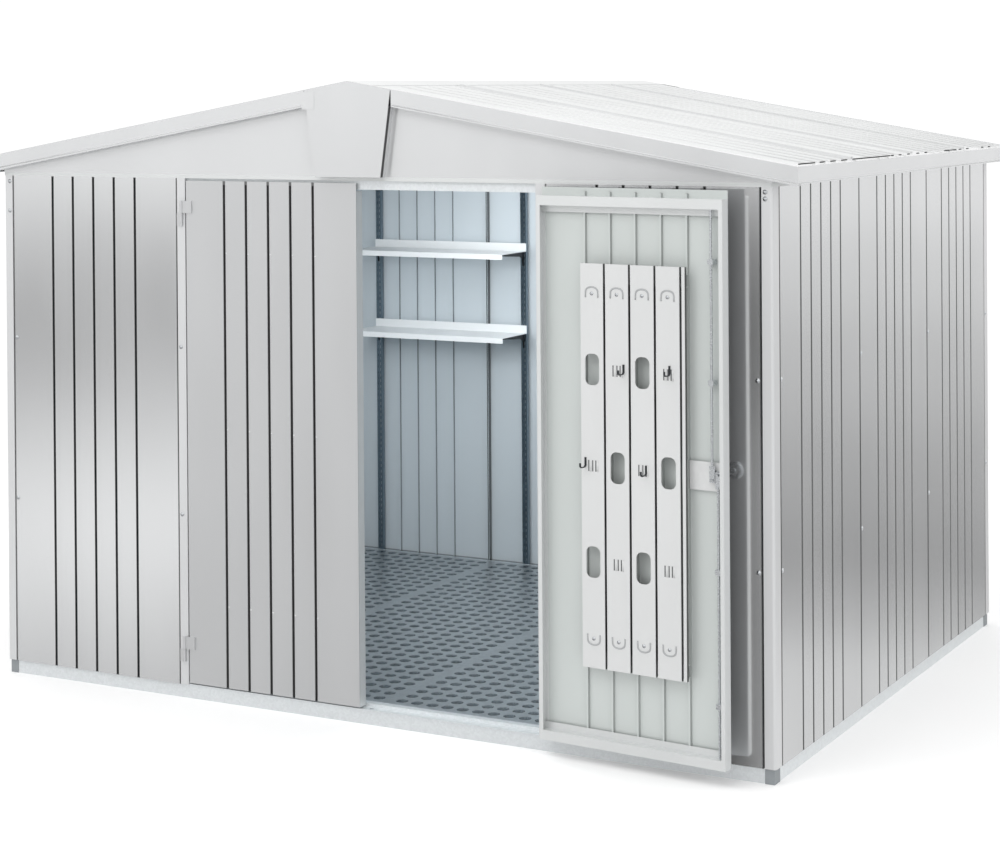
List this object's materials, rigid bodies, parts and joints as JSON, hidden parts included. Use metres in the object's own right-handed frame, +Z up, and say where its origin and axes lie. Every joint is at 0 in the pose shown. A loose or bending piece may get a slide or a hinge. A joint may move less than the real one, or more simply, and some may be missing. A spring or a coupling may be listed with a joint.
{
  "type": "metal storage shed",
  "caption": "Walk-in garden shed of ribbed silver sheet panels with a shallow gable roof, a double door with a rod lock, a tool board on the door, shelves and an embossed metal floor.",
  "frame": {"origin": "on the ground under the middle of the four walls", "axes": "+X to the right of the doors, +Y from the doors to the back wall, +Z up; the doors face -Y"},
  "size_m": [3.112, 2.4205, 2.107],
  "materials": {
    "silver_sheet": "satin metallic silver",
    "roof_sheet": "satin metallic silver",
    "galvanised_section": "galvanised",
    "corner_joint": "matt dark grey",
    "floor_plate": "embossed galvanised sheet",
    "board_sheet": "satin light grey",
    "black_steel": "black powder coat",
    "hinge_metal": "bright",
    "lock_metal": "zinc plated"
  },
  "bodies": {
    "shed": {"corner_posts_front": "silver_sheet", "corner_posts_back": "silver_sheet", "front_wall_right": "silver_sheet", "front_wall_left": "silver_sheet", "right_wall": "silver_sheet", "left_wall": "silver_sheet", "back_wall": "silver_sheet", "door_jambs": "silver_sheet", "head_rail_front": "silver_sheet", "head_rail_back": "silver_sheet", "head_rails_side": "silver_sheet", "gable_infill_front": "silver_sheet", "gable_infill_back": "silver_sheet", "gable_plates": "silver_sheet", "verge_trims": "silver_sheet", "eave_trims": "silver_sheet", "roof_right": "roof_sheet", "roof_left": "roof_sheet", "ridge_cap": "roof_sheet", "base_rail_front": "galvanised_section", "base_rail_back": "galvanised_section", "base_rails_side": "galvanised_section", "door_sill": "galvanised_section", "floor_bearers": "galvanised_section", "door_lintel": "galvanised_section", "roof_beams": "galvanised_section", "shelf_uprights": "galvanised_section", "shelf_upper": "galvanised_section", "shelf_lower": "galvanised_section", "base_corners": "corner_joint", "floor_panels": "floor_plate", "shelf_brackets": "black_steel", "hinge_seats": "hinge_metal"},
    "left_door": {"left_leaf_skin": "silver_sheet", "left_leaf_stiles": "silver_sheet", "left_leaf_bars": "galvanised_section", "left_leaf_hinge_straps": "hinge_metal"},
    "right_door": {"right_leaf_skin": "silver_sheet", "right_leaf_stiles": "silver_sheet", "right_leaf_bars": "galvanised_section", "right_leaf_hinge_straps": "hinge_metal", "tool_board": "board_sheet", "tool_hooks": "black_steel", "lock_plate": "lock_metal", "lock_rod_guides": "lock_metal"},
    "lock": {"lock_crank": "lock_metal", "lock_handle": "lock_metal"},
    "upper_rod": {"lock_rod_upper": "lock_metal"},
    "lower_rod": {"lock_rod_lower": "lock_metal"}
  },
  "joints": [
    {"name": "left_door_hinge", "type": "hinge", "parent": "shed", "child": "left_door", "pos_m": [-0.686, -1.136, 0], "axis": [0, 0, 1], "range_deg": [-175, 0]},
    {"name": "right_door_hinge", "type": "hinge", "parent": "shed", "child": "right_door", "pos_m": [0.686, -1.136, 0], "axis": [0, 0, 1], "range_deg": [-175, 0]},
    {"name": "lock_turn", "type": "hinge", "parent": "right_door", "child": "lock", "pos_m": [1.31317, -1.19589, 0.92], "axis": [0.0872, 0.9962, 0], "range_deg": [0, 90]},
    {"name": "upper_rod_slide", "type": "slide", "parent": "right_door", "child": "upper_rod", "axis": [0, 0, 1], "range_m": [0, 0.017]},
    {"name": "lower_rod_slide", "type": "slide", "parent": "right_door", "child": "lower_rod", "axis": [0, 0, -1], "range_m": [0, 0.017]}
  ],
  "couplings": [
    {"joint": "upper_rod_slide", "follows": "lock_turn", "m_per_rad": 0.010804},
    {"joint": "lower_rod_slide", "follows": "lock_turn", "m_per_rad": 0.010804}
  ]
}
